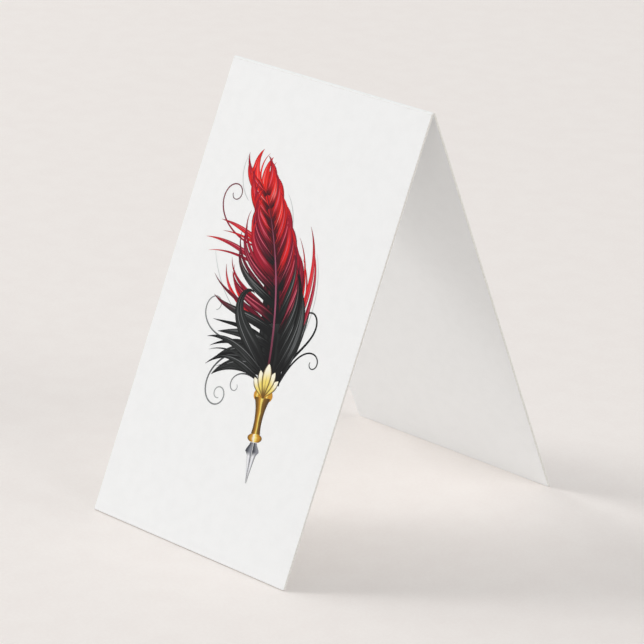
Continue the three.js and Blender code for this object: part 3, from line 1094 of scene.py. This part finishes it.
def ink_film(name, corners, parts, material):
    """A closed film from the visible triangles of a shape's strokes.

    parts holds (stroke, its visible triangles) for each stroke of the shape."""
    numbers = {}  # of the division's corners, the film's own number for each
    tops, maps, colors, seeds = [], [], [], []
    for stroke, triangles in parts:
        for face, places in triangles:
            tops.append(tuple(numbers.setdefault(k, len(numbers)) for k in face))
            maps.append(places)
            colors.append(stroke.inks)
            seeds.append(stroke.seed)
    count = len(numbers)
    place = leaf_place(FRONT)
    vertices = []
    for height in (INK_TOP, INK_BOTTOM):
        for k in numbers:
            vertices.append(place @ Vector((corners[k].x * MM, corners[k].y * MM, STOCK + height)))
    faces = list(tops)
    faces += [tuple(count + k for k in reversed(top)) for top in tops]
    loop_maps = maps + [places[::-1] for places in maps]
    owners = list(range(len(tops))) * 2
    for a, b, number, i in rim_of(tops):
        faces.append((b, a, a + count, b + count))
        at_a, at_b = maps[number][i], maps[number][(i + 1) % 3]
        loop_maps.append([at_b, at_a, at_a, at_b])
        owners.append(number)
    piece = new_piece(name, vertices, faces, [material])
    paint_strokes(piece.data, faces, loop_maps, owners, colors, seeds)
    return piece


def paint_strokes(mesh, faces, loop_maps, owners, colors, seeds):
    """Gives a film the maps, the inks and the numbers of its strokes."""
    layer = mesh.uv_layers.new(name=STROKE_MAP)
    flat = np.array([value for places in loop_maps for place in places for value in place])
    layer.data.foreach_set("uv", flat.astype(np.float32))
    repeats = np.array([len(face) for face in faces])
    owners = np.array(owners)
    for k, ink in enumerate(INKS):
        attribute = mesh.attributes.new(ink, "FLOAT_COLOR", "CORNER")
        values = np.array([(*inks[k], 1.0) for inks in colors], np.float32)[owners]
        attribute.data.foreach_set("color", np.repeat(values, repeats, axis=0).ravel())
    attribute = mesh.attributes.new(SEED, "FLOAT", "CORNER")
    values = np.array(seeds, np.float32)[owners]
    attribute.data.foreach_set("value", np.repeat(values, repeats))


def make_print():
    """All the ink films of the front leaf."""
    materials = {
        "barb": barb_material(),
        "line": line_material(),
        "petal": petal_material(),
        "gold": metal_material("printed_gold", GOLD_BANDS),
        "bronze": metal_material("printed_bronze", BRONZE_BANDS),
        "steel": steel_material(),
    }
    shapes = printed_shapes()
    strokes = [stroke for shape in shapes for stroke in shape.strokes]
    corners, visible = share_out(strokes)
    first = 0
    for shape in shapes:
        last = first + len(shape.strokes)
        parts = list(zip(strokes[first:last], visible[first:last]))
        first = last
        piece = ink_film("ink_" + shape.node, corners, parts, materials[shape.kind])
        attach(piece, "front")
        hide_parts("print_" + shape.node)


# ---- the whole scene -------------------------------------------------------------------


def make_card():
    """The two leaves, each on its own body, and the strip that bends between them."""
    card, cut, scored = card_material(), edge_material(), fold_material()
    for side, body in ((FRONT, "front"), (BACK, "back")):
        leaf = card_leaf("card_" + body, side, card, cut)
        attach(leaf, body)
        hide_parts(body + "_leaf")
    strip = card_fold(scored, cut)
    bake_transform(strip)
    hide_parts("fold_crease")


def make_floor():
    """A plain round floor under the card."""
    count = 96
    turns = [2 * math.pi * i / count for i in range(count)]
    vertices = [(FLOOR_RADIUS * math.cos(t), FLOOR_RADIUS * math.sin(t), 0) for t in turns]
    floor = new_piece("floor", vertices, [tuple(range(count))], [floor_material()])


def make_camera():
    """The camera, at the card's front right and a little above it."""
    az, el, roll = VIEW_AZIMUTH, VIEW_ELEVATION, VIEW_ROLL
    forward = Vector((-math.sin(az) * math.cos(el), math.cos(az) * math.cos(el), -math.sin(el)))
    level = Vector((math.cos(az), math.sin(az), 0))
    upright = level.cross(forward)
    right = level * math.cos(roll) + upright * math.sin(roll)
    up = upright * math.cos(roll) - level * math.sin(roll)
    place = OBJECT_MIDDLE - forward * VIEW_DISTANCE + right * AIM_RIGHT + up * AIM_UP
    data = bpy.data.cameras.new("camera")
    data.sensor_width = SENSOR_MM
    data.lens = FOCAL_RATIO * SENSOR_MM
    camera = bpy.data.objects.new("camera", data)
    turn = Matrix((right, up, -forward)).transposed().to_4x4()
    camera.matrix_world = Matrix.Translation(place) @ turn
    bpy.context.scene.collection.objects.link(camera)
    bpy.context.scene.camera = camera


def soft_box(name, azimuth, elevation, distance, size, watts):
    """A round area light that faces the object's middle."""
    flat, rise = math.cos(math.radians(elevation)), math.sin(math.radians(elevation))
    turn = math.radians(azimuth)
    toward = Vector((flat * math.cos(turn), flat * math.sin(turn), rise))
    data = bpy.data.lights.new(name, "AREA")
    data.shape = "DISK"
    data.size = size
    data.energy = watts
    light = bpy.data.objects.new(name, data)
    light.location = OBJECT_MIDDLE + toward * distance
    light.rotation_euler = toward.to_track_quat("Z", "Y").to_euler()
    bpy.context.scene.collection.objects.link(light)


def make_room():
    """The pale room, brighter overhead than at the level of the table."""
    world = bpy.data.worlds.new("room")
    world.use_nodes = True
    tree = world.node_tree
    place = add_node(tree, "TexCoord", {}).outputs["Generated"]
    height = add_node(tree, "SeparateXYZ", {0: place}).outputs[2]
    light = ease(tree, height, 0.0, 0.8, ROOM_LOW, ROOM_HIGH)
    tree.links.new(light, tree.nodes["Background"].inputs["Strength"])
    tree.nodes["Background"].inputs["Color"].default_value = (1, 1, 1, 1)
    bpy.context.scene.world = world


def make_lights():
    """A soft key light at the left, a broader fill on each side, and the pale room."""
    soft_box("key_light", *KEY_LIGHT)
    soft_box("right_fill", *RIGHT_FILL)
    soft_box("left_fill", *LEFT_FILL)
    make_room()
    bpy.context.scene.view_settings.view_transform = "Standard"


make_camera()
make_lights()
make_floor()
make_card()
make_print()
